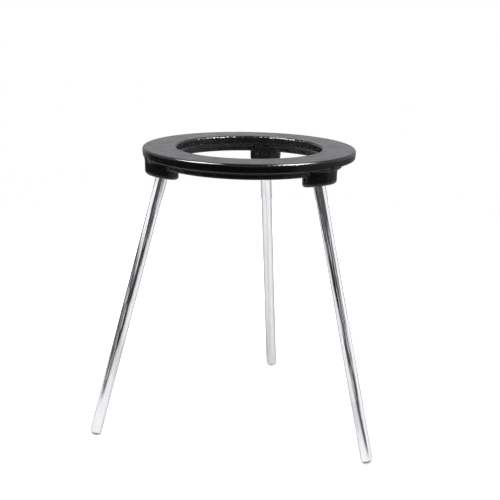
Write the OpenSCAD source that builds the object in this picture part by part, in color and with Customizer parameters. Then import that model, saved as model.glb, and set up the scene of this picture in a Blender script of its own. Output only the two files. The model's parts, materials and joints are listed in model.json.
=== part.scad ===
// Lab tripod stand: a cast iron ring carried by three splayed steel rods.
// The floor is at Z = 0 and the ring's axis is the Z axis. One leg stands on the +Y side.

/* [Stand] */
// Height from the floor to the ring's top face
stand_h = 150; // [120:1:220]

/* [Ring plate] */
// Outer diameter of the ring at the widest line of its rim, just below the top face
ring_od = 110; // [100:1:140]
// Diameter of the round opening
opening_d = 75; // [60:0.5:78]
// Thickness of the flat ring plate
plate_t = 4.6; // [4:0.1:6]
// Casting draft of the rim, in degrees
rim_draft = 6; // [3:1:8]
// Radius on the upper edges of the rim and of the opening
top_edge_r = 1.2; // [0.5:0.1:1.5]
// Radius on the lower edges of the rim and of the opening
low_edge_r = 0.7; // [0.4:0.1:1]

/* [Stiffening rib] */
// Distance from the rim to the root of the rib's outer side
rib_inset = 6.2; // [5:0.2:8]
// Width of the rib at its root
rib_w = 8.6; // [6:0.2:9.6]
// Height of the rib below the plate
rib_h = 4.1; // [2.4:0.1:5]
// Casting draft of the rib's two sides, in degrees
rib_draft = 6; // [2:1:8]
// Radius on the rib's lower edges
rib_edge_r = 1; // [0.4:0.1:1.2]

/* [Bosses] */
// Diameter of the round leg bosses where they leave the plate
boss_d = 17.2; // [15:0.2:18]
// Distance that the bosses stand in from the widest line of the rim
boss_inset = 0.1; // [0.1:0.1:2]
// Drop from the ring's top face to the middle of a boss's lower face
boss_drop = 14; // [12.6:0.2:16]
// Slope of a boss's lower face, in degrees. It is lowest on the side of the opening.
boss_slope = 11; // [6:0.5:15]
// Casting draft of the bosses, in degrees
boss_draft = 1; // [0.5:0.5:1.5]
// Radius on the bosses' lower edges
boss_edge_r = 1.8; // [0.6:0.1:2.4]
// Radius of the fillets where the rib and the bosses grow out of the plate
root_r = 2; // [1:0.1:2.2]
// Radius of the fillets between the rib and the bosses
rib_end_r = 1.2; // [0.8:0.1:1.6]

/* [Legs] */
// Diameter of the leg rods
leg_d = 6; // [5:0.5:7]
// Lean of the legs from upright, in degrees
leg_splay = 15; // [10:0.5:18]
// Length of rod held inside a boss
leg_seat = 9; // [7:0.5:9.5]
// Gap between the rod and the wall of its hole
leg_gap = 0.05; // [0.02:0.01:0.1]
// Chamfer on the foot of a rod
foot_chamfer = 1; // [0.5:0.1:1.4]
// Chamfer on the seated end of a rod
seat_chamfer = 0.6; // [0.3:0.1:1]

/* [Hidden] */
$fn = 96;

// Directions of the three bosses and legs around the ring's axis
BACK = 90;
LEFT = 210;
RIGHT = 330;

// Plate: radii of the opening and of the rim at its widest line, how far the rim's upper rounding
// reaches down, then radii of the rim's sharp corners before rounding, above and below
opening_r = opening_d / 2;
rim_r = ring_od / 2;
rim_edge_h = top_edge_r / tan(45 - rim_draft / 2);
rim_top_r = rim_r - top_edge_r + rim_edge_h;
rim_low_r = rim_top_r - plate_t * tan(rim_draft);

// Rib: radii of its two sides at the root, how far each leans in over its height, the height of
// its lower face, and how far it runs up inside the plate
rib_out_r = rim_r - rib_inset;
rib_in_r = rib_out_r - rib_w;
rib_lean = rib_h * tan(rib_draft);
rib_z = -plate_t - rib_h;
rib_bury = plate_t / 2;

// Bosses: radius and place, the height of their upper end inside the plate, and how far the
// slope of the lower face carries the drafted side in or out
boss_r = boss_d / 2;
boss_ring_r = rim_r - boss_inset - boss_r;
boss_top_z = -rim_edge_h;
side_shift = boss_r * tan(boss_slope) * tan(boss_draft);

// Legs: each one starts at the bottom of its hole and ends where its lower edge meets the floor
leg_r = leg_d / 2;
hole_r = leg_r + leg_gap;
drill_half_angle = 59;
drill_point_h = hole_r / tan(drill_half_angle);
face_z = stand_h - boss_drop;
foot_z = (leg_r - foot_chamfer) * sin(leg_splay);
leg_reach = (face_z - foot_z) / cos(leg_splay);

// Step that keeps a fillet's cut end off the surface beside it, and the overrun of trimming tools
flush_step = 0.2;
overrun = 1;

// How far a corner's web reaches past its sides, and how far its arc crosses them
skin_t = 0.3;
arc_bite = 0.002;

function unit(v) = v / norm(v);

// The area between the corner p, whose sides run towards a and b, and an arc of radius r that
// touches both sides. Taken away it rounds an outer corner, and added it fills an inner one.
// It reaches skin_t past the corner's sides, and the arc crosses them by arc_bite.
module corner_web(p, a, b, r) {
    u = unit(a - p);
    w = unit(b - p);
    half = acos(u * w) / 2;
    centre = p + unit(u + w) * r / sin(half);
    foot_a = p + u * r / tan(half);
    foot_b = p + w * r / tan(half);
    grow = (r + skin_t) / r;
    difference() {
        polygon([
            centre,
            centre + (foot_a - centre) * grow,
            centre + (p - centre) * grow,
            centre + (foot_b - centre) * grow,
        ]);
        translate(centre) circle(r = r + arc_bite);
    }
}

// Half section of the plate: x is the radius, and y = 0 is the top face
module plate_section() {
    a = [opening_r, 0];
    b = [rim_top_r, 0];
    c = [rim_low_r, -plate_t];
    d = [opening_r, -plate_t];
    difference() {
        polygon([a, b, c, d]);
        corner_web(a, d, b, top_edge_r);
        corner_web(b, a, c, top_edge_r);
        corner_web(c, b, d, low_edge_r);
        corner_web(d, c, a, low_edge_r);
    }
}

// Half section of the rib, with its root fillets. It runs up into the plate.
module rib_section() {
    top = rib_bury * tan(rib_draft);
    root_out = [rib_out_r, -plate_t];
    root_in = [rib_in_r, -plate_t];
    tip_out = [rib_out_r - rib_lean, rib_z];
    tip_in = [rib_in_r + rib_lean, rib_z];
    difference() {
        polygon([root_in + [-top, rib_bury], root_out + [top, rib_bury], tip_out, tip_in]);
        corner_web(tip_out, root_out, tip_in, rib_edge_r);
        corner_web(tip_in, tip_out, root_in, rib_edge_r);
    }
    corner_web(root_out, tip_out, root_out + [1, 0], root_r);
    corner_web(root_in, tip_in, root_in - [1, 0], root_r);
}

// Radius of a boss at the height z, before its lower face is sloped
function boss_r_at(z) = boss_r + (z + plate_t) * tan(boss_draft);

// Half section of a boss about its own upright axis: y = 0 is the middle of its lower face. It
// runs up past the ring's top face, where boss() cuts it off.
module boss_section() {
    top = boss_drop + boss_r;
    low_edge = [boss_r_at(-boss_drop), 0];
    top_edge = [boss_r_at(boss_r), top];
    difference() {
        polygon([[0, 0], low_edge, top_edge, [0, top]]);
        corner_web(low_edge, [0, 0], top_edge, boss_edge_r);
    }
}

// Half section of the fillet round a boss, under a face at the height z
module boss_fillet_section(z, r) {
    corner = [boss_r_at(z) - side_shift, z];
    corner_web(corner, corner - [tan(boss_draft), 1], corner + [1, 0], r);
}

// Slopes the flat faces of its children up towards +X, and leaves their upright walls upright
module sloped() {
    multmatrix([[1, 0, 0, 0], [0, 1, 0, 0], [tan(boss_slope), 0, 1, 0], [0, 0, 0, 1]]) children();
}

// Puts its children at the middle of a boss's lower face, with Z along the leg's axis
module at_boss_face() {
    translate([boss_ring_r, 0, -boss_drop]) rotate([0, -leg_splay, 0]) children();
}

// Turns a half section about the upright axis of the boss on the +X side
module turn_about_boss() {
    translate([boss_ring_r, 0, 0]) rotate_extrude() children();
}

// A band about the ring's axis, between the radii r_in and r_out at the height z. It reaches from
// below mm under z to overrun above it, and its sides spread by spread mm per mm of height.
module band(r_in, r_out, z, below, spread) {
    low = below * spread;
    high = overrun * spread;
    translate([0, 0, z - below]) difference() {
        cylinder(r1 = r_out - low, r2 = r_out + high, h = below + overrun);
        translate([0, 0, -overrun])
            cylinder(r1 = r_in + low + high, r2 = r_in - 2 * high, h = below + 3 * overrun);
    }
}

// One boss on the +X side, with the ring's top face at Z = 0
module boss() {
    // the boss itself, cut off level inside the plate
    translate([boss_ring_r, 0, 0]) intersection() {
        translate([0, 0, -boss_drop]) sloped() rotate_extrude() boss_section();
        translate([0, 0, -2 * boss_drop]) cylinder(r = boss_d, h = 2 * boss_drop + boss_top_z);
    }
    // fillet to the plate, kept between the plate's rounded edges
    intersection() {
        turn_about_boss() boss_fillet_section(-plate_t, root_r);
        band(opening_r + low_edge_r + flush_step, rim_low_r - flush_step, -plate_t, 2 * root_r, 0);
    }
    // fillet to the rib's lower face, kept between the rib's rounded edges
    intersection() {
        turn_about_boss() boss_fillet_section(rib_z, rib_end_r);
        band(rib_in_r + rib_lean + rib_edge_r, rib_out_r - rib_lean - rib_edge_r, rib_z, 2 * rib_end_r, 1);
    }
}

// Blind hole for a leg, drilled along the leg's axis from the middle of the boss's lower face
module leg_hole() {
    at_boss_face() {
        translate([0, 0, -leg_d]) cylinder(r = hole_r, h = leg_d + leg_seat);
        translate([0, 0, leg_seat]) cylinder(r1 = hole_r, r2 = 0, h = drill_point_h);
    }
}

// The casting: plate, rib and bosses in one piece
module ring() {
    color([0.10, 0.10, 0.11])
    translate([0, 0, stand_h]) difference() {
        union() {
            rotate_extrude() {
                plate_section();
                rib_section();
            }
            for (a = [BACK, LEFT, RIGHT]) rotate([0, 0, a]) boss();
        }
        for (a = [BACK, LEFT, RIGHT]) rotate([0, 0, a]) leg_hole();
    }
}

// Half section of a leg rod about its own axis, with its foot at y = 0
module leg_section() {
    top = leg_reach + leg_seat;
    polygon([
        [0, 0],
        [leg_r - foot_chamfer, 0],
        [leg_r, foot_chamfer],
        [leg_r, top - seat_chamfer],
        [leg_r - seat_chamfer, top],
        [0, top],
    ]);
}

// One leg rod, standing in the direction a
module leg(a) {
    color([0.78, 0.79, 0.80])
    rotate([0, 0, a]) translate([0, 0, stand_h]) at_boss_face()
        translate([0, 0, -leg_reach]) rotate_extrude() leg_section();
}

module leg_back() {
    leg(BACK);
}

module leg_left() {
    leg(LEFT);
}

module leg_right() {
    leg(RIGHT);
}

ring();
leg_back();
leg_left();
leg_right();
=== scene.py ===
# %% [markdown]
# # A lab tripod stand
# The real object is a cast iron ring, painted gloss black, with three bright plated rods that
# are screwed into bosses under it. Four solid pieces carry the whole look, so almost all of this
# lesson is about finishes: how thick paint sits on a casting, and how drawn, plated steel
# mirrors a studio.
#
# The shapes come ready from the construction model. They could be built again here with curves
# and bevels, but then two models would have to agree. It is simpler to keep the true surfaces
# and to give them better materials.

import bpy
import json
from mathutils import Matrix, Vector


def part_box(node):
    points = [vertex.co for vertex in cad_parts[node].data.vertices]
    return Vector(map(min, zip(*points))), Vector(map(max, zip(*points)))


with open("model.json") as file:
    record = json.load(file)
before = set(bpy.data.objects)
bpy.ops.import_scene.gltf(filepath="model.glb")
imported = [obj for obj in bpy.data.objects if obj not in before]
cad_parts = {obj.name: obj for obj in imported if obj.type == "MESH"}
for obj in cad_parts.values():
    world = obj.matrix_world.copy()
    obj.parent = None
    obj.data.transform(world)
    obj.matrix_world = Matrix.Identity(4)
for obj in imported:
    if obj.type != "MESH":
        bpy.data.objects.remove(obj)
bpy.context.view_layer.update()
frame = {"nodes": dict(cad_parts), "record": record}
print("pieces:", sorted(frame["nodes"]))

# %% [markdown]
# ## Measure before you light
# The places that matter are worked out from the loaded model: the height of the top face, the
# radius of the opening, and the line that each rod stands along. Typing those numbers in would be
# quicker, but they would go stale as soon as the model changed.
#
# A rod's axis is found from its own vertices. They spread far more along the rod than across it,
# so the direction of the largest spread is the axis.

# %% Measure the ring and the rods
import json
import math

import bpy
import numpy as np
from mathutils import Matrix, Vector

MM = 0.001
LEG_NODES = ("leg_back", "leg_left", "leg_right")

top_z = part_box("ring")[1].z
mounts = {mount["name"]: mount for mount in frame["record"]["mounts"]}
opening_r = mounts["ring_opening"]["dims"]["r_mm"] * MM


def rod_line(node):
    """The point at a rod's foot, its unit axis pointing up, and its length."""
    points = np.array([v.co for v in frame["nodes"][node].data.vertices])
    centre = points.mean(axis=0)
    axis = np.linalg.svd(points - centre)[2][0]
    axis = axis * np.sign(axis[2])
    along = (points - centre) @ axis
    foot = centre + axis * along.min()
    return Vector(foot), Vector(axis), float(along.max() - along.min())


rods = {node: rod_line(node) for node in LEG_NODES}
print("top face at", round(top_z, 4), "opening radius", opening_r)
for node, (foot, axis, length) in rods.items():
    print(node, "length", round(length, 4), "lean", round(math.degrees(axis.angle((0, 0, 1))), 2))

# %% [markdown]
# ## The camera
# The stand is looked at from a little above its own height, with a long lens, so the ring
# reads as a flat ellipse and the legs hardly converge. The camera is aimed at a point close to
# the stand's axis, above its middle, and then rolled by about one degree.
#
# A Track To constraint would aim it too, but a rotation built from three unit vectors has no
# hidden state: right, up and back are the columns of the camera's matrix.

# %% Place the camera
VIEW_AZIMUTH = math.radians(11.3)
VIEW_ELEVATION = math.radians(14.5)
VIEW_ROLL = math.radians(1.1)
VIEW_DISTANCE = 0.5435
TARGET_HEIGHT = 0.0948
TARGET_ASIDE = 0.0014
LENS_MM = 73.9
SENSOR_MM = 36
NEAREST_SEEN = 0.01


def level_direction(azimuth):
    """The unit vector that points from the stand towards someone who stands at that azimuth."""
    return Vector((math.sin(azimuth), -math.cos(azimuth), 0))


def place_camera():
    back = level_direction(VIEW_AZIMUTH) * math.cos(VIEW_ELEVATION)
    back.z = math.sin(VIEW_ELEVATION)
    level_right = Vector((math.cos(VIEW_AZIMUTH), math.sin(VIEW_AZIMUTH), 0))
    level_up = back.cross(level_right)
    right = level_right * math.cos(VIEW_ROLL) + level_up * math.sin(VIEW_ROLL)
    up = back.cross(right)
    data = bpy.data.cameras.new("studio_camera")
    data.sensor_width = SENSOR_MM
    data.lens = LENS_MM
    data.clip_start = NEAREST_SEEN
    camera = bpy.data.objects.new("studio_camera", data)
    bpy.context.scene.collection.objects.link(camera)
    target = level_right * TARGET_ASIDE + Vector((0, 0, TARGET_HEIGHT))
    camera.matrix_world = Matrix((right, up, back)).transposed().to_4x4()
    camera.location = target + back * VIEW_DISTANCE
    bpy.context.scene.camera = camera
    return camera


camera = place_camera()
bpy.context.scene.view_settings.view_transform = "Standard"
print("camera at", [round(c, 4) for c in camera.location])

# %% [markdown]
# ## Small helpers for node trees
# A node tree written out call by call is long and hard to read, so a few helpers keep it short.
# The first adds a node and fills in its inputs. An input may be a value, or the output socket of
# another node, and then the helper links the two. The next four wrap the nodes that are used
# most: Math, Vector Math, a soft step and a colour mix. The last one starts a material.

# %% Node helpers
def add_node(tree, kind, inputs=None, **settings):
    """Adds a node. inputs maps an input's name or number to a value or to an output socket."""
    node = tree.nodes.new(kind)
    for name, value in settings.items():
        setattr(node, name, value)
    for name, value in (inputs or {}).items():
        socket = node.inputs[name]
        if isinstance(value, bpy.types.NodeSocket):
            tree.links.new(value, socket)
        else:
            socket.default_value = value
    return node


def math_node(tree, operation, *values):
    """A Math node on one to three values or sockets. Returns its output socket."""
    return add_node(tree, "ShaderNodeMath", dict(enumerate(values)), operation=operation).outputs[0]


def vector_math(tree, operation, *values):
    """A Vector Math node. Gives the number for DOT_PRODUCT and LENGTH, and else the vector."""
    node = add_node(tree, "ShaderNodeVectorMath", dict(enumerate(values)), operation=operation)
    return node.outputs["Value" if operation in ("DOT_PRODUCT", "LENGTH") else "Vector"]


def smooth_step(tree, value, low, high, to_low=0.0, to_high=1.0):
    """Turns a value into a soft step that goes from to_low to to_high between low and high."""
    limits = {"Value": value, "From Min": low, "From Max": high}
    limits.update({"To Min": to_low, "To Max": to_high})
    step = add_node(tree, "ShaderNodeMapRange", limits, interpolation_type="SMOOTHSTEP")
    return step.outputs["Result"]


def mix_colours(tree, share, first, second):
    """The first colour where share is 0, the second where it is 1, and a blend between."""
    mix = add_node(
        tree, "ShaderNodeMix", {"Factor": share, "A": first, "B": second}, data_type="RGBA"
    )
    return mix.outputs["Result"]


def new_material(name):
    """An empty node material and its tree."""
    material = bpy.data.materials.new(name)
    material.use_nodes = True
    material.node_tree.nodes.clear()
    return material, material.node_tree


print("node helpers ready")

# %% [markdown]
# ## Helpers for node groups
# A finish such as an uneven skin is needed on more than one material. Copying its nodes would
# work, but then every change would have to be made twice. A node group is built once, with named
# inputs, and each material places it with its own values.

# %% Group helpers
FLOAT = "NodeSocketFloat"
VECTOR = "NodeSocketVector"


def start_group(name, inputs, outputs):
    """
    A new shader node group, its inputs as seen from inside, and its outputs.

    inputs is a list of (name, socket kind, default), and outputs of (name, socket kind).
    """
    group = bpy.data.node_groups.new(name, "ShaderNodeTree")
    for socket_name, kind, default in inputs:
        socket = group.interface.new_socket(socket_name, in_out="INPUT", socket_type=kind)
        if default is not None:
            socket.default_value = default
    for socket_name, kind in outputs:
        group.interface.new_socket(socket_name, in_out="OUTPUT", socket_type=kind)
    take = group.nodes.new("NodeGroupInput").outputs
    give = group.nodes.new("NodeGroupOutput").inputs
    return group, take, give


def use_group(tree, group, inputs):
    """Puts a group into a tree and returns its outputs."""
    return add_node(tree, "ShaderNodeGroup", inputs, node_tree=group).outputs


print("group helpers ready")

# %% [markdown]
# ## The studio around the stand
# Black paint and bright metal have almost no colour of their own. What the eye reads is the room
# in them, so the room is designed first. It is a small product studio: white screens on both
# sides, a light grey backdrop behind the stand, an unlit end behind the camera, one dark gap low
# on the left between the table and the side screen, a dimmer ceiling, and little light from
# under the table. Each of these is a soft mask on the direction, and takes away a share of the
# light. A ready-made panorama would be quicker to load, but it couldn't be shaped zone by zone
# until every mirror line lies where it should.
#
# The camera itself sees plain white wherever it looks past the stand and its table. Every other
# ray meets the room. The room depends only on the direction in the world, so nothing slides when
# the camera moves.

# %% The zones of the room
# depth: the share of the light that the zone takes away
# turn: the zone's middle, in degrees round the stand, with the camera at 0 and the left at -90
# toward: the cosine of the angle to that middle, where the zone's soft edge starts and ends
# below, above: the height of the direction at the soft edge, from -1 (down) to 1 (up)
ROOM_ZONES = {
    "unlit_end": {"depth": 0.91, "turn": 6, "toward": (0.60, 0.74), "below": (0.22, 0.32)},
    "left_gap": {"depth": 0.90, "turn": -80, "toward": (0.50, 0.62), "below": (0.05, 0.09)},
    "backdrop": {"depth": 0.37, "turn": 180, "toward": (0.40, 0.70)},
    "ceiling": {"depth": 0.55, "above": (0.55, 0.80)},
    "under_table": {"depth": 0.60, "below": (-0.16, -0.06)},
}
ROOM_WHITE = (0.96, 0.97, 1.0, 1)
CAMERA_WHITE = (1, 1, 1, 1)


def zone_mask(tree, direction, zone):
    """1 inside a zone of the room and 0 outside it, with soft edges."""
    height = add_node(tree, "ShaderNodeSeparateXYZ", {0: direction}).outputs["Z"]
    masks = []
    if "toward" in zone:
        middle = level_direction(VIEW_AZIMUTH + math.radians(zone["turn"]))
        nearness = vector_math(tree, "DOT_PRODUCT", direction, middle)
        masks.append(smooth_step(tree, nearness, *zone["toward"]))
    if "below" in zone:
        masks.append(smooth_step(tree, height, *zone["below"], 1.0, 0.0))
    if "above" in zone:
        masks.append(smooth_step(tree, height, *zone["above"]))
    return masks[0] if len(masks) == 1 else math_node(tree, "MULTIPLY", *masks)


print("room zones:", list(ROOM_ZONES))

# %% [markdown]
# The world starts from full light and lets each zone take its share away. Then one Mix node lets
# camera rays see plain white, and all others the room.

# %% Build the world
def build_world():
    world = bpy.data.worlds.new("studio")
    world.use_nodes = True
    bpy.context.scene.world = world
    tree = world.node_tree
    tree.nodes.clear()
    direction = add_node(tree, "ShaderNodeTexCoord").outputs["Generated"]
    light = 1.0
    for zone in ROOM_ZONES.values():
        taken = math_node(tree, "MULTIPLY", zone_mask(tree, direction, zone), zone["depth"])
        light = math_node(tree, "MULTIPLY", light, math_node(tree, "SUBTRACT", 1.0, taken))
    room = add_node(tree, "ShaderNodeBackground", {"Color": ROOM_WHITE, "Strength": light})
    white = add_node(tree, "ShaderNodeBackground", {"Color": CAMERA_WHITE})
    is_camera = add_node(tree, "ShaderNodeLightPath").outputs["Is Camera Ray"]
    seen = add_node(
        tree, "ShaderNodeMixShader", {0: is_camera, 1: room.outputs[0], 2: white.outputs[0]}
    )
    add_node(tree, "ShaderNodeOutputWorld", {"Surface": seen.outputs[0]})
    return world


world = build_world()
print("world nodes:", len(world.node_tree.nodes))

# %% [markdown]
# ## The table top
# The floor is a round white sheet, large enough to carry every shadow and to be mirrored in the
# rods. It reaches further to the back than to the front, so the ring's front rim mirrors the
# dark room beyond the sheet and stays black.
#
# The rods mirror the sheet over most of their length. One even white would make them flat white
# bars, so for mirrors the sheet is painted greyer at the back, in front and down the middle. This
# is painted shade: it stands in for less light falling on those parts of the sheet. That painted
# shade gives the rods their grey outlines and the faint line down the back leg. The camera itself
# sees an even sheet with some extra white on it, more towards the edge, so the sheet melts into the
# background but keeps the shadow near the stand. Seen from below it is clear, so that the
# underside of the ring can be looked at too.

# %% The table's material
# Each step says between which two distances, in metres, something changes, and then its value
# before and after. The first three give the sheet's grey, which is painted shade in mirrors, and
# the last the camera's extra white.
# the far, near and middle steps are painted shade that greys the sheet for every ray but the
# camera's
FAR_PAINTED_SHADE = (0.02, 0.11, 0.76, 0.56)
NEAR_PAINTED_SHADE = (-0.22, -0.10, 0.65, 1.0)
MIDDLE_PAINTED_SHADE = (0.010, 0.035, 0.78, 1.0)
CAMERA_GREY = 0.80
CAMERA_GLOW = (0.10, 0.28, 0.40, 1.0)


def sheet_grey_with_painted_shade(tree, position, is_camera):
    """The sheet's grey: painted shade zone by zone for mirrors, and the same all over for the
    camera.
    """
    away = -level_direction(VIEW_AZIMUTH)
    side = level_direction(VIEW_AZIMUTH + math.pi / 2)
    backward = vector_math(tree, "DOT_PRODUCT", position, away)
    sideways = vector_math(tree, "DOT_PRODUCT", position, side)
    middle = smooth_step(tree, math_node(tree, "ABSOLUTE", sideways), *MIDDLE_PAINTED_SHADE)
    far = smooth_step(tree, backward, *FAR_PAINTED_SHADE)
    near = smooth_step(tree, backward, *NEAR_PAINTED_SHADE)
    # painted shade: the sheet is darker at the back, in front and down the middle
    mirrored = math_node(tree, "MULTIPLY", math_node(tree, "MULTIPLY", far, near), middle)
    return math_node(
        tree, "MAXIMUM", mirrored, math_node(tree, "MULTIPLY", is_camera, CAMERA_GREY)
    )


def table_material():
    material, tree = new_material("table_white_painted_shade")
    geometry = add_node(tree, "ShaderNodeNewGeometry").outputs
    is_camera = add_node(tree, "ShaderNodeLightPath").outputs["Is Camera Ray"]
    grey = sheet_grey_with_painted_shade(tree, geometry["Position"], is_camera)
    colour = add_node(tree, "ShaderNodeCombineColor", {0: grey, 1: grey, 2: grey}).outputs[0]
    sheet = add_node(tree, "ShaderNodeBsdfDiffuse", {"Color": colour})
    distance = vector_math(tree, "LENGTH", geometry["Position"])
    glow = math_node(tree, "MULTIPLY", smooth_step(tree, distance, *CAMERA_GLOW), is_camera)
    extra = add_node(tree, "ShaderNodeEmission", {"Strength": glow})
    lit = add_node(tree, "ShaderNodeAddShader", {0: sheet.outputs[0], 1: extra.outputs[0]})
    clear = add_node(tree, "ShaderNodeBsdfTransparent")
    surface = add_node(
        tree,
        "ShaderNodeMixShader",
        {0: geometry["Backfacing"], 1: lit.outputs[0], 2: clear.outputs[0]},
    )
    add_node(tree, "ShaderNodeOutputMaterial", {"Surface": surface.outputs[0]})
    return material


white_sheet = table_material()
print(white_sheet.name, "with", len(white_sheet.node_tree.nodes), "nodes")

# %% [markdown]
# The sheet itself is one flat polygon. A curved paper sweep would be the usual thing, but the
# room already gives the white behind the stand, and a flat sheet throws no shade of its own. It
# lies a hair under the feet, so that they don't flicker against it.

# %% Build the table top
TABLE_R = 0.45
TABLE_SHIFT = 0.15
TABLE_SIDES = 96
TABLE_Z = -0.05 * MM


def build_table():
    mesh = bpy.data.meshes.new("table_top")
    turns = [2 * math.pi * i / TABLE_SIDES for i in range(TABLE_SIDES)]
    middle = level_direction(VIEW_AZIMUTH) * -TABLE_SHIFT
    rim = [
        (middle.x + TABLE_R * math.cos(t), middle.y + TABLE_R * math.sin(t), TABLE_Z)
        for t in turns
    ]
    mesh.from_pydata(rim, [], [list(range(TABLE_SIDES))])
    table = bpy.data.objects.new("table_top", mesh)
    bpy.context.scene.collection.objects.link(table)
    mesh.materials.append(white_sheet)
    return table


table = build_table()
print("table top", round(2 * TABLE_R, 2), "m across")

# %% [markdown]
# ## Two soft lamps and two strips
# Two soft boxes hang to the left and to the right, above the stand, and light it evenly.
#
# Glossy black mirrors only a few percent of a lamp, so the soft boxes are too weak to show as
# the two bright slivers on the ring's rounded front edge. Making them stronger would burn out
# the table. Two much brighter strips hang in nearly the same places, and are hidden from diffuse
# rays: they add gloss and no other light. A wide strip would give a long line on the edge, and a
# small one would give a spark, so their widths are chosen for the slivers.

# %% Hang the lamps
# azimuth: degrees to the right, from straight behind the stand
# elevation: degrees up from the level of the stand's middle
LAMP_DISTANCE = 0.95
SOFT_RADIANCE = 6.0
STRIP_RADIANCE = 60.0
LAMPS = {
    "left_soft_box": {"azimuth": -100, "elevation": 56, "width": 0.46, "height": 0.46},
    "right_soft_box": {"azimuth": 100, "elevation": 56, "width": 0.46, "height": 0.46},
}
STRIPS = {
    "left_strip": {"azimuth": -104, "elevation": 56, "width": 0.46, "height": 0.46},
    "right_strip": {"azimuth": 102, "elevation": 56, "width": 0.34, "height": 0.46},
}


def hang_lamp(name, radiance, azimuth, elevation, width, height):
    """A flat lamp that faces the stand's middle. Its power follows from its radiance and size."""
    data = bpy.data.lights.new(name, "AREA")
    data.shape = "RECTANGLE"
    data.size = width
    data.size_y = height
    data.energy = radiance * math.pi * width * height
    lamp = bpy.data.objects.new(name, data)
    bpy.context.scene.collection.objects.link(lamp)
    away = level_direction(VIEW_AZIMUTH + math.pi - math.radians(azimuth))
    away = away * math.cos(math.radians(elevation))
    away.z = math.sin(math.radians(elevation))
    target = Vector((0, 0, top_z / 2))
    lamp.location = target + away * LAMP_DISTANCE
    lamp.rotation_mode = "QUATERNION"
    lamp.rotation_quaternion = (-away).to_track_quat("-Z", "Y")
    return lamp


for name, facts in LAMPS.items():
    lamp = hang_lamp(name, SOFT_RADIANCE, **facts)
    print(name, "at", [round(c, 3) for c in lamp.location], round(lamp.data.energy, 2), "W")
for name, facts in STRIPS.items():
    strip = hang_lamp(name, STRIP_RADIANCE, **facts)
    strip.visible_diffuse = False
    print(name, "at", [round(c, 3) for c in strip.location], "only in gloss")

# %% [markdown]
# ## An uneven skin
# Neither piece has a perfect surface. The casting keeps the lumps of its sand mould under the
# paint, and the paint adds its own fine orange peel. The rods have shallow waves and fine lines
# from drawing. One node group makes both: it adds a coarse and a fine noise, each with its own
# size and height, and gives the sum as a height in metres, which a Bump node takes. The two
# noises come out as well, so that a material can let its gloss change with them.

# %% Node group: uneven skin
LUMP_DETAIL = 2.0
GRAIN_DETAIL = 3.0


def build_uneven_skin():
    group, take, give = start_group(
        "uneven_skin",
        [
            ("Vector", VECTOR, None),
            ("Lump Size", FLOAT, 0.004),
            ("Lump Height", FLOAT, 0.00002),
            ("Grain Size", FLOAT, 0.0008),
            ("Grain Height", FLOAT, 0.000004),
        ],
        [("Height", FLOAT), ("Lumps", FLOAT), ("Grain", FLOAT)],
    )
    heights = []
    for layer, detail, output in (("Lump", LUMP_DETAIL, "Lumps"), ("Grain", GRAIN_DETAIL, "Grain")):
        scale = math_node(group, "DIVIDE", 1.0, take[layer + " Size"])
        settings = {"Vector": take["Vector"], "Scale": scale, "Detail": detail}
        noise = add_node(group, "ShaderNodeTexNoise", settings).outputs["Fac"]
        heights.append(math_node(group, "MULTIPLY", noise, take[layer + " Height"]))
        group.links.new(noise, give[output])
    group.links.new(math_node(group, "ADD", *heights), give["Height"])
    return group


uneven_skin = build_uneven_skin()
print("group", uneven_skin.name, "with", len(uneven_skin.nodes), "nodes")

# %% [markdown]
# ## Specks
# Sand grains on the casting and dust in the wet paint leave small hard nibs. A noise can't make
# them, because its lumps touch one another. A Voronoi texture measures the distance to the nearest
# random point, so a small threshold on that distance gives round specks, and a second random
# number drops more than half of them, which keeps them apart.

# %% Node group: specks
def build_specks():
    group, take, give = start_group(
        "specks",
        [
            ("Vector", VECTOR, None),
            ("Spacing", FLOAT, 0.003),
            ("Radius", FLOAT, 0.12),
            ("Share", FLOAT, 0.3),
        ],
        [("Mask", FLOAT)],
    )
    scale = math_node(group, "DIVIDE", 1.0, take["Spacing"])
    cells = add_node(group, "ShaderNodeTexVoronoi", {"Vector": take["Vector"], "Scale": scale})
    spot = smooth_step(group, cells.outputs["Distance"], 0.0, take["Radius"], 1.0, 0.0)
    number = add_node(group, "ShaderNodeSeparateColor", {0: cells.outputs["Color"]}).outputs[0]
    chosen = math_node(group, "LESS_THAN", number, take["Share"])
    group.links.new(math_node(group, "MULTIPLY", spot, chosen), give["Mask"])
    return group


specks = build_specks()
print("group", specks.name, "with", len(specks.nodes), "nodes")

# %% [markdown]
# ## Gloss black paint on cast iron
# The ring is dipped or sprayed with black enamel. The paint is nearly black, so it shows
# mostly its gloss: at the flat angle at which the top face is seen it mirrors the light backdrop
# and turns mid grey, while the rim, seen straight on, stays black.
#
# The top face and the outer rim are smoother than the rest, because they were dressed before
# painting. The opening's wall and everything under the plate keep the mould's lumps. The masks
# for that could be painted on the mesh, but they follow from the place on the casting: the
# height under the top face, the distance from the axis, and which way the surface faces.

# %% Where the casting was dressed
# PLATE_DEPTH is how far the plate and its dressed rim reach down from the top face
PLATE_DEPTH = 4.6 * MM
FACING_UP = (0.6, 0.98)
BELOW_EDGE = (top_z - PLATE_DEPTH - 1.5 * MM, top_z - PLATE_DEPTH)
WITHIN_EDGE = (opening_r + 1.0 * MM, opening_r + 3.0 * MM)


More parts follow.
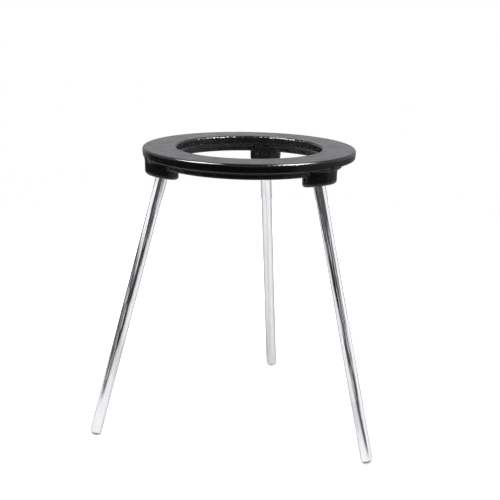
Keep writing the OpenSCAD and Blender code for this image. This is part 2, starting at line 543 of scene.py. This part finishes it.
def casting_masks(tree, position):
    """The masks of the top face, of the opening's wall, and of all that was left as cast."""
    normal = add_node(tree, "ShaderNodeNewGeometry").outputs["Normal"]
    facing_up = add_node(tree, "ShaderNodeSeparateXYZ", {0: normal}).outputs["Z"]
    on_top = smooth_step(tree, facing_up, *FACING_UP)
    height = add_node(tree, "ShaderNodeSeparateXYZ", {0: position}).outputs["Z"]
    below = smooth_step(tree, height, *BELOW_EDGE, 1.0, 0.0)
    radius = vector_math(tree, "LENGTH", vector_math(tree, "MULTIPLY", position, (1, 1, 0)))
    within = smooth_step(tree, radius, *WITHIN_EDGE, 1.0, 0.0)
    return on_top, within, math_node(tree, "MAXIMUM", below, within)


print("as cast below", round(BELOW_EDGE[1], 4), "and within", round(WITHIN_EDGE[1], 4))

# %% [markdown]
# Lumps, grain and nibs are added up to one height. The masks then scale it: hardly any on the
# dressed rim, even less on the top face, all of it where the casting was left alone, and more in
# the opening, where the nibs catch the lamps as sparks. Real displacement would need a very fine
# mesh for lumps as small as these, so the height only tilts the shading.

# %% The casting's skin
CAST_SKIN = {
    "Lump Size": 3.0 * MM,
    "Lump Height": 0.35 * MM,
    "Grain Size": 0.8 * MM,
    "Grain Height": 0.05 * MM,
}
NIBS = {"Spacing": 1.5 * MM, "Radius": 0.2, "Share": 0.4}
NIB_HEIGHT = 0.06 * MM
DRESSED_SHARE = 0.09
TOP_SHARE = 0.10
OPENING_SHARE = 2.5


def casting_bump(tree, skin, position, on_top, within, as_cast):
    """The Bump node for the ring, with its height scaled by how the surface was finished."""
    nibs = use_group(tree, specks, {"Vector": position, **NIBS})
    lumpy = math_node(tree, "MULTIPLY_ADD", nibs["Mask"], NIB_HEIGHT, skin["Height"])
    unevenness = math_node(
        tree,
        "MULTIPLY",
        smooth_step(tree, as_cast, 0, 1, DRESSED_SHARE, 1.0),
        smooth_step(tree, on_top, 0, 1, 1.0, TOP_SHARE),
    )
    unevenness = math_node(
        tree, "MULTIPLY", unevenness, smooth_step(tree, within, 0, 1, 1.0, OPENING_SHARE)
    )
    height = math_node(tree, "MULTIPLY", lumpy, unevenness)
    return add_node(tree, "ShaderNodeBump", {"Strength": 1.0, "Distance": 1.0, "Height": height})


print("cast lumps of", CAST_SKIN["Lump Size"] / MM, "mm, nibs every", NIBS["Spacing"] / MM, "mm")

# %% [markdown]
# The as-cast walls are a shade less black than the dressed faces. This is painted light: it stands
# in for the light that their lumps scatter. The top face has been handled, so its gloss is patchy.
# Only the roughness changes from patch to patch. A change of colour would do the same from the
# front, but from above it would look like camouflage, because there the gloss is weak and the
# colour shows.

# %% The paint material
# GLOSS_ON_LUMPS: between which two values of the noise the roughness changes, and from what to what
DRESSED_BLACK = (0.005, 0.005, 0.0055, 1)
# painted light: the as-cast black is lighter, standing in for the light that the lumps scatter
CAST_BLACK_PAINTED_LIGHTER = (0.011, 0.011, 0.012, 1)
PAINT_IOR = 1.33
GLOSS_ON_LUMPS = (0.3, 0.7, 0.11, 0.17)
PATCH_NOISE = {"Scale": 1 / (7 * MM), "Detail": 6.0, "Roughness": 0.75}
PATCH_EDGE = (0.35, 0.68)
PATCH_ROUGH = 0.13


def ring_paint():
    material, tree = new_material("ring_paint_gloss_black")
    position = add_node(tree, "ShaderNodeTexCoord").outputs["Object"]
    on_top, within, as_cast = casting_masks(tree, position)
    skin = use_group(tree, uneven_skin, {"Vector": position, **CAST_SKIN})
    bump = casting_bump(tree, skin, position, on_top, within, as_cast)

    dull = add_node(tree, "ShaderNodeTexNoise", {"Vector": position, **PATCH_NOISE}).outputs["Fac"]
    patches = math_node(tree, "MULTIPLY", smooth_step(tree, dull, *PATCH_EDGE), on_top)
    gloss = smooth_step(tree, skin["Lumps"], *GLOSS_ON_LUMPS)
    rough = math_node(tree, "MULTIPLY_ADD", patches, PATCH_ROUGH, gloss)
    # the as-cast walls get the lighter black, which is painted light
    shade = mix_colours(tree, as_cast, DRESSED_BLACK, CAST_BLACK_PAINTED_LIGHTER)
    paint = add_node(
        tree,
        "ShaderNodeBsdfPrincipled",
        {"Base Color": shade, "Roughness": rough, "Normal": bump.outputs["Normal"]},
    )
    paint.inputs["IOR"].default_value = PAINT_IOR
    add_node(tree, "ShaderNodeOutputMaterial", {"Surface": paint.outputs[0]})
    return material


paint = ring_paint()
frame["nodes"]["ring"].data.materials[0] = paint
print("painted the ring with", paint.name)

# %% [markdown]
# ## Drawn and plated rod
# The rods are cold drawn steel with a bright plating. Drawing leaves very fine lines along the
# rod, and straightening rollers turn them a little on the way up. An anisotropic shader would
# only blur the light along the rod, while these lines can be seen one by one.
#
# The group below gives the texture space for them: it takes a point on the rod, its foot and its
# axis, squeezes the length, and turns the cross section a little. Any noise that is read there
# comes out as long, slightly winding lines. The group also gives the distance from the foot.

# %% Node group: rod space
def scale_vector(tree, vector, factor):
    """The vector times a number, from a Vector Math node."""
    inputs = {0: vector, "Scale": factor}
    return add_node(tree, "ShaderNodeVectorMath", inputs, operation="SCALE").outputs["Vector"]


def build_rod_space():
    group, take, give = start_group(
        "rod_space",
        [
            ("Vector", VECTOR, None),
            ("Foot", VECTOR, None),
            ("Axis", VECTOR, None),
            ("Squeeze", FLOAT, 0.03),
            ("Twist", FLOAT, 0.0),
        ],
        [("Vector", VECTOR), ("Along", FLOAT)],
    )
    offset = vector_math(group, "SUBTRACT", take["Vector"], take["Foot"])
    along = vector_math(group, "DOT_PRODUCT", offset, take["Axis"])
    on_axis = scale_vector(group, take["Axis"], along)
    across = vector_math(group, "SUBTRACT", offset, on_axis)
    turn = math_node(group, "MULTIPLY", along, take["Twist"])
    rotation = {"Vector": across, "Axis": take["Axis"], "Angle": turn}
    turned = add_node(group, "ShaderNodeVectorRotate", rotation).outputs["Vector"]
    squeezed = scale_vector(group, on_axis, take["Squeeze"])
    group.links.new(vector_math(group, "ADD", turned, squeezed), give["Vector"])
    group.links.new(along, give["Along"])
    return group


rod_space = build_rod_space()
print("group", rod_space.name, "with", len(rod_space.nodes), "nodes")

# %% [markdown]
# The three rods share one recipe. Each gets its own material only because each has its own foot
# and axis. Those could be stored on the mesh instead, but two vectors set on a group are
# easier to follow and survive an export.
#
# The fine lines are rougher than the plating between them, so they scatter light and show as
# grey streaks in the dark part of each reflection. The specular tint of a metal sets what it
# mirrors at a flat angle. A dark one gives each rod a thin grey outline, without which it would
# melt into a white background. The last millimetre at the foot is the cut and chamfered end. The
# plating is thin there, so it is duller and darker. Part of that darker grey is painted shade: it
# stands in for the shadow under the foot, which the chamfer mirrors.

# %% The plated steel material
# ROUGH_ON_LINES: between which two values of the noise the roughness changes, and from what to what
# CUT_END: between which two distances from the foot the cut end gives way to the plating
ROD_STRETCH = {"Squeeze": 0.012, "Twist": 4.0}
ROD_LINES = {
    "Lump Size": 1.6 * MM,
    "Lump Height": 0.12 * MM,
    "Grain Size": 0.4 * MM,
    "Grain Height": 0.03 * MM,
}
ROUGH_ON_LINES = (0.54, 0.62, 0.07, 0.45)
PLATING_DARK = (0.90, 0.905, 0.92, 1)
PLATING_LIGHT = (0.95, 0.95, 0.955, 1)
FLAT_ANGLE_TINT = (0.25, 0.25, 0.27, 1)
CUT_END = (0.8 * MM, 1.2 * MM)
# partly painted shade: the darker grey stands in for the shadow under the foot that the chamfer
# mirrors
CUT_GREY_AND_PAINTED_SHADE = (0.36, 0.36, 0.37, 1)
CUT_ROUGH = 0.30


def rod_plating(node):
    foot, axis, _ = rods[node]
    material, tree = new_material("rod_plating_" + node)
    position = add_node(tree, "ShaderNodeTexCoord").outputs["Object"]
    place = {"Vector": position, "Foot": foot, "Axis": axis}
    space = use_group(tree, rod_space, {**place, **ROD_STRETCH})
    lines = use_group(tree, uneven_skin, {"Vector": space["Vector"], **ROD_LINES})
    bump = add_node(
        tree, "ShaderNodeBump", {"Strength": 1.0, "Distance": 1.0, "Height": lines["Height"]}
    )

    cut_end_with_painted_shade = smooth_step(tree, space["Along"], *CUT_END, 1.0, 0.0)
    line_rough = smooth_step(tree, lines["Grain"], *ROUGH_ON_LINES)
    rough = math_node(tree, "MULTIPLY_ADD", cut_end_with_painted_shade, CUT_ROUGH, line_rough)
    plating = mix_colours(tree, lines["Lumps"], PLATING_DARK, PLATING_LIGHT)
    # at the foot the darker grey is partly painted shade of the foot's contact shadow
    colour = mix_colours(tree, cut_end_with_painted_shade, plating, CUT_GREY_AND_PAINTED_SHADE)
    steel = add_node(
        tree,
        "ShaderNodeBsdfPrincipled",
        {"Base Color": colour, "Roughness": rough, "Normal": bump.outputs["Normal"]},
    )
    steel.inputs["Metallic"].default_value = 1.0
    steel.inputs["Specular Tint"].default_value = FLAT_ANGLE_TINT
    add_node(tree, "ShaderNodeOutputMaterial", {"Surface": steel.outputs[0]})
    return material


for node in LEG_NODES:
    frame["nodes"][node].data.materials[0] = rod_plating(node)
    print("plated", node)
